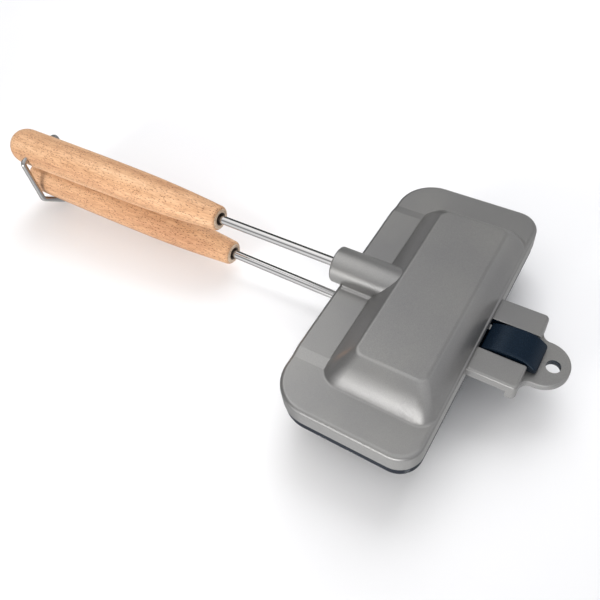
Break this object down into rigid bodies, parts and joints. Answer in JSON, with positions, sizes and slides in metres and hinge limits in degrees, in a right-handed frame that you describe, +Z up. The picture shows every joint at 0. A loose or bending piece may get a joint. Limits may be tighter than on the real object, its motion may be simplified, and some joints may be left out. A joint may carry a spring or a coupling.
{
  "type": "pie iron",
  "caption": "Hinged pie iron: domed rectangular cast pans hooked together at the front, steel rods, tapered wooden handles and a wire bail that swings over to hold it shut.",
  "frame": {"origin": "point on the flat underside of the lower dome, below the middle of the pans", "axes": "+X from the handle tips to the hinge, +Y across the pans, +Z up from the lower pan to the upper pan"},
  "size_m": [0.304, 0.132, 0.0467],
  "materials": {
    "pan_outside": "satin warm-grey high-temperature coating on cast aluminium",
    "nonstick": "dark satin non-stick coating on cast aluminium",
    "steel_rod": "drawn bright steel rod",
    "handle_wood": "light beech, fine sanded and oiled",
    "insert_steel": "turned steel",
    "bail_wire": "bent steel wire"
  },
  "bodies": {
    "lower_half": {"lower_pan": "nonstick", "lower_rod": "steel_rod", "lower_handle": "handle_wood", "lower_handle_insert": "insert_steel"},
    "upper_half": {"upper_pan": "pan_outside", "upper_rod": "steel_rod", "upper_handle": "handle_wood", "upper_handle_insert": "insert_steel"},
    "bail": {"bail": "bail_wire"}
  },
  "joints": [
    {"name": "pan_hinge", "type": "hinge", "parent": "lower_half", "child": "upper_half", "pos_m": [0.0465, 0, 0.02045], "axis": [0, 1, 0], "range_deg": [0, 115]},
    {"name": "bail_pivot", "type": "hinge", "parent": "upper_half", "child": "bail", "pos_m": [-0.2203, 0, 0.03143], "axis": [0, 1, 0], "range_deg": [-15, 250]}
  ]
}
